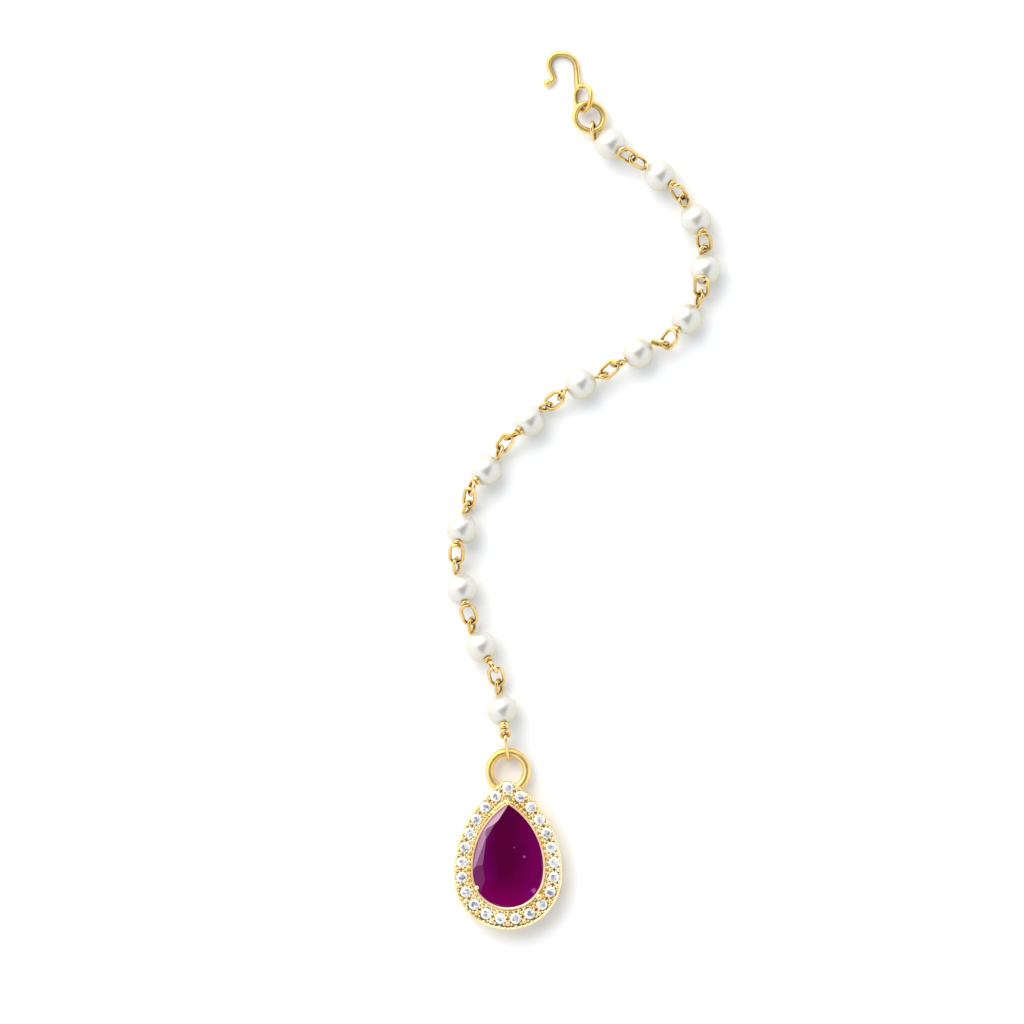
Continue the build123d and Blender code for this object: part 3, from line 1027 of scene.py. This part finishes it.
# grains in the gap between two stones: along the row, outwards, up, radius
grainPlaces = [
    (0.02, 0.66, 0, 0.36),
    (-0.50, 0.80, 0, 0.19),
    (0.52, 0.79, 0, 0.19),
    (0, -0.58, 0, 0.28),
    (-0.38, -0.74, 0, 0.19),
    (0.40, -0.72, 0.02, 0.20),
    (-0.20, 0.28, 0.04, 0.19),
    (0.21, 0.30, 0.03, 0.18),
    (-0.20, -0.23, 0.03, 0.18),
    (0.20, -0.21, 0.04, 0.19),
]

# beads that stand three by three along the outer edge and round the bezel
beadPlaces = [(-0.78, 0.01, 0.02, 0.21), (0, -0.02, 0, 0.25), (0.76, 0.01, 0, 0.23)]

clear = clearFinish(clearLook)
oneBrilliant = addObject("oneBrilliant", brilliantMesh(brilliantShape))
oneCluster = addObject("oneCluster", beadMesh(grainPlaces))
threeBeads = addObject("threeBeads", beadMesh(beadPlaces))
stones = alongRow(haloRow, oneBrilliant, clear, brilliantShape["height"], turn=pi / 2, tilt=3.5, seed=4)
addPiece("haloStones", stones)
# name, row, what stands on it, its height, where it starts, tilt and seed
beadRows = [
    ("haloGrains", haloRow, oneCluster, 3.13, 0.5, 5, 9),
    ("edgeBeads", (haloOutline, -0.29, 23), threeBeads, 3.06, 0.0, 9, 3),
    ("bezelBeads", (stoneOutline, 0.56, 18), threeBeads, 3.10, 0.0, 9, 6),
]
for name, row, piece, height, start, tilt, seed in beadRows:
    addPiece(name, alongRow(row, piece, settingGold, height, start, tilt=tilt, seed=seed))
print("halo stones and grains set")

clawPlaces = [(0, -4.35, 3.62, 0.34), (-4.25, -15.95, 3.62, 0.34), (4.22, -17.22, 3.56, 0.48)]
claws = [(spot(x, y, z), (0, 0, 1), size) for x, y, z, size in clawPlaces]
addPiece("claws", onPoints(claws, ball, settingGold))
print("claws set")


stoneShape = {
    "foot": 0.62,  # heights above the floor
    "girdleBottom": 3.27,
    "girdleTop": 3.43,
    "table": 3.88,
    "fit": 0.995,  # of the bezel's opening
    # corners of the table from the tip down its left side, each with the tilt of the next facet
    "tableCorners": [(-0.15, -5.55, 27), (-2.75, -8.10, 25), (-3.45, -11.10, 11), (-3.52, -14.20, 8),
                     (-2.75, -16.60, 8)],
    "flatTilt": 7,  # of the crown everywhere else
    "flatFrom": (-0.30, 0.55),  # where it starts, by how far the edge faces right and to the tip
    "breaksTo": 0.75,  # same for the small facets of the upper left
    "lifts": (0.06, 0.03, 0.05),  # of flat mains, flat breaks and left breaks above the girdle
    "mains": 9,  # facets on each side of the stone's axis, tip to foot
    "mainDrop": 0.05,  # of the lower ones below the girdle
    "breakTilt": 9,  # more than the facets they cut
    # star facets: corner, way it faces, tilt, how far inside the corner
    "stars": [(1, 150, 13, 0.38), (2, 172, 15, 0.22), (3, 188, 14, 0.25)],
    "pavilionTilt": 40,
    # crown facets that face this way, right and up, get painted light: from where, how fast
    "litFrom": (-0.70, 0.60),
    "litStart": 0.15,
    "litGain": 3.6,
}


def cutStone(shape):
    # a pear prism ground facet by facet, as on a lap
    build = bmesh.new()
    ring = pearStations(stoneOutline, shape["fit"])
    count = len(ring)
    bottom, top = ([build.verts.new(spot(x, y, z)) for x, y, outX, outY in ring]
                   for z in (shape["foot"], shape["table"]))
    build.faces.new(bottom)
    build.faces.new(top)
    for index in range(count):
        after = (index + 1) % count
        build.faces.new((bottom[index], bottom[after], top[after], top[index]))
    bmesh.ops.remove_doubles(build, verts=build.verts, dist=1e-7)
    bmesh.ops.recalc_face_normals(build, faces=build.faces)

    def grind(x, y, z, outX, outY, tilt, upward=1):
        # takes off all that lies outside the facet through this place
        lean, rise = sin(radians(tilt)), cos(radians(tilt))
        everything = build.verts[:] + build.edges[:] + build.faces[:]
        cut = bmesh.ops.bisect_plane(build, geom=everything, dist=1e-8, clear_outer=True,
                                     plane_co=spot(x, y, z),
                                     plane_no=(outX * lean, outY * lean, upward * rise))
        edges = [part for part in cut["geom_cut"] if isinstance(part, bmesh.types.BMEdge)]
        if len(edges) > 2:
            bmesh.ops.contextual_create(build, geom=edges)

    corners = shape["tableCorners"]
    for (x, y, tilt), (nextX, nextY, *rest) in zip(corners, corners[1:]):
        length = hypot(nextX - x, nextY - y)
        grind(x, y, shape["table"], (nextY - y) / length, (x - nextX) / length, tilt)
    mains, breaks = ([ring[round((index + 0.5) * count / total)] for index in range(total)]
                     for total in (2 * shape["mains"], 4 * shape["mains"]))
    farLeft, farUp = shape["flatFrom"]
    mainLift, breakLift, leftLift = shape["lifts"]
    for places, lift, more in ((mains, mainLift, 0), (breaks, breakLift, shape["breakTilt"])):
        for x, y, outX, outY in places:
            if outX > farLeft and outY < farUp:
                grind(x, y, shape["girdleTop"] + lift, outX, outY, shape["flatTilt"] + more)
            elif more and 0 < outY < shape["breaksTo"]:
                grind(x, y, shape["girdleTop"] + leftLift, outX, outY, corners[0][2] + more)
    for corner, heading, tilt, inset in shape["stars"]:
        outX, outY, level = direction(heading, 0)
        x, y = corners[corner][:2]
        grind(x - outX * inset, y - outY * inset, shape["table"], outX, outY, tilt)
    for places, drop, more in ((mains, shape["mainDrop"], 0), (breaks, 0, shape["breakTilt"])):
        for x, y, *out in places:
            grind(x, y, shape["girdleBottom"] - drop, *out, shape["pavilionTilt"] + more, -1)
    return finishMesh(build, smooth=False)


stoneMesh = cutStone(stoneShape)
# painted light: lilac on the crown facets that face the light
rightShare, upShare = stoneShape["litFrom"]
crown = []
for face in stoneMesh.polygons:
    towardsLight = upShare * face.normal.y + rightShare * face.normal.x
    lit = min(1.0, max(0.0, towardsLight - stoneShape["litStart"]) * stoneShape["litGain"])
    crown.append(lit if face.normal.z > 0.5 else 0.0)
keepValues(stoneMesh, "crown", "FACE", crown)
stoneMesh.materials.append(crimsonFinish(crimsonLook, (stoneLow + stoneHigh) / 2))
addPiece("centreStone", stoneMesh, ["centre_stone"])
print("centre stone cut,", len(stoneMesh.polygons), "facets")

for helper in (ball, onePearl, bur, oneBrilliant, oneCluster, threeBeads):
    bpy.data.objects.remove(helper)


stageLook = {
    "floorSize": 6.0,  # metres
    "floorDrop": 0.01,  # millimetres below the lowest piece
    "floorTints": ((0.91, 0.91, 0.91, 1), (0.93, 0.93, 0.93, 1)),
    "floorRoughness": 0.9,
    "fibres": 1.3,
    "keyDirection": (-0.52, 0.54, 0.69),
    "keyDistance": 1.60,
    "wall": 1.40,  # brightness of the pale walls all round
    "wallTint": (0.88, 0.93, 1.0, 1),
    "window": 3.2,  # of the window over the key light, with soft edges
    "windowTint": (1.0, 0.975, 0.93, 1),
    # where a slope shows the middle of the window, and how far it is bright and then gone
    "windowMiddle": (-0.24, 0.40),
    "windowReach": (0.14, 0.46),
    # the far walls to the lower right: where their slopes start and end, and their colour
    "farWalls": ((0.58, -0.81), 0.42, 0.95),
    "farTint": (0.80, 0.76, 0.66, 1),
    "opening": 0.02,  # of the dark opening overhead
    # its three edges, by the slope of a surface that shows them: outward x, y and distance
    "edges": [(-0.46, 0.89, 0.14), (0.92, -0.39, 0.29), (-0.73, -0.68, 0.22)],
    "edgeBlur": 0.09,
}
keyLook = {
    "shape": "RECTANGLE", "size": 1.50, "size_y": 1.25, "energy": 7.5, "color": (1.0, 0.96, 0.90),
}
cameraLook = {
    "aim": (-9.75, -2.99),  # from the middle of the model's box
    "frameWidth": 140.3,
    "lens": 400,
    "sensor": 36,
}

paper = Finish("floorPaper")
fibres = paper.noise(paper.millimetres(), stageLook["fibres"], 4.0)
floorBuild = bmesh.new()
bmesh.ops.create_grid(floorBuild, x_segments=8, y_segments=8, size=stageLook["floorSize"] / 2)
bmesh.ops.translate(floorBuild, verts=floorBuild.verts, vec=(0, 0, -stageLook["floorDrop"] * mm))
floor = addObject("floor", finishMesh(floorBuild, smooth=False))
floor.data.materials.append(paper.surface({
    "Base Color": paper.blend(fibres, *stageLook["floorTints"]),
    "Roughness": stageLook["floorRoughness"], "Specular IOR Level": 0.1}))

keyWay = Vector(stageLook["keyDirection"]).normalized()
key = addObject("key", bpy.data.lights.new("key", "AREA"))
for name, setting in keyLook.items():
    setattr(key.data, name, setting)
key.location = keyWay * stageLook["keyDistance"]
key.rotation_euler = keyWay.to_track_quat("Z", "Y").to_euler()
key.visible_camera = False
key.visible_glossy = False  # what shines shows the window in its place

world = bpy.data.worlds.new("studio")
bpy.context.scene.world = world
world.use_nodes = True
room = NodeSheet(world.node_tree)
way = room.add("ShaderNodeTexCoord", output="Generated")
raised = room.add("ShaderNodeVectorMath", {"operation": "ADD"}, {0: way, 1: (0, 0, 1)})
slope = room.add("ShaderNodeVectorMath", {"operation": "NORMALIZE"}, {0: raised})
inside = 1.0
for outX, outY, distance in stageLook["edges"]:
    across = room.measure("DOT_PRODUCT", slope, (outX, outY, 0))
    blur = stageLook["edgeBlur"]
    inside = (1 - room.fade(across, distance - blur, distance + blur)) * inside
windowX, windowY = stageLook["windowMiddle"]
windowZ = sqrt(1 - windowX ** 2 - windowY ** 2)
away = room.measure("DISTANCE", slope, (windowX, windowY, windowZ))
glow = (1 - room.fade(away, *stageLook["windowReach"])) * (1 - inside)
(farX, farY), near, far = stageLook["farWalls"]
towardsFar = room.measure("DOT_PRODUCT", slope, (farX, farY, 0))
tint = room.blend(room.fade(towardsFar, near, far), stageLook["wallTint"], stageLook["farTint"])
tint = room.blend(glow, tint, stageLook["windowTint"])
strength = (glow * (stageLook["window"] - stageLook["wall"]) + stageLook["wall"]
            - inside * (stageLook["wall"] - stageLook["opening"]))
backdrop = room.add("ShaderNodeBackground", inputs={"Color": tint, "Strength": strength})
room.add("ShaderNodeOutputWorld", inputs={"Surface": backdrop})
bpy.context.scene.view_settings.view_transform = "Standard"

lowest, highest = cadBox
middle = (Vector(lowest) + Vector(highest)) / 2
camera = addObject("camera", bpy.data.cameras.new("camera"))
camera.data.lens = cameraLook["lens"]
camera.data.sensor_width = cameraLook["sensor"]
distance = cameraLook["frameWidth"] * cameraLook["lens"] / cameraLook["sensor"]
camera.location = middle + Vector((*cameraLook["aim"], distance)) * mm
bpy.context.scene.camera = camera
print("stage lit")
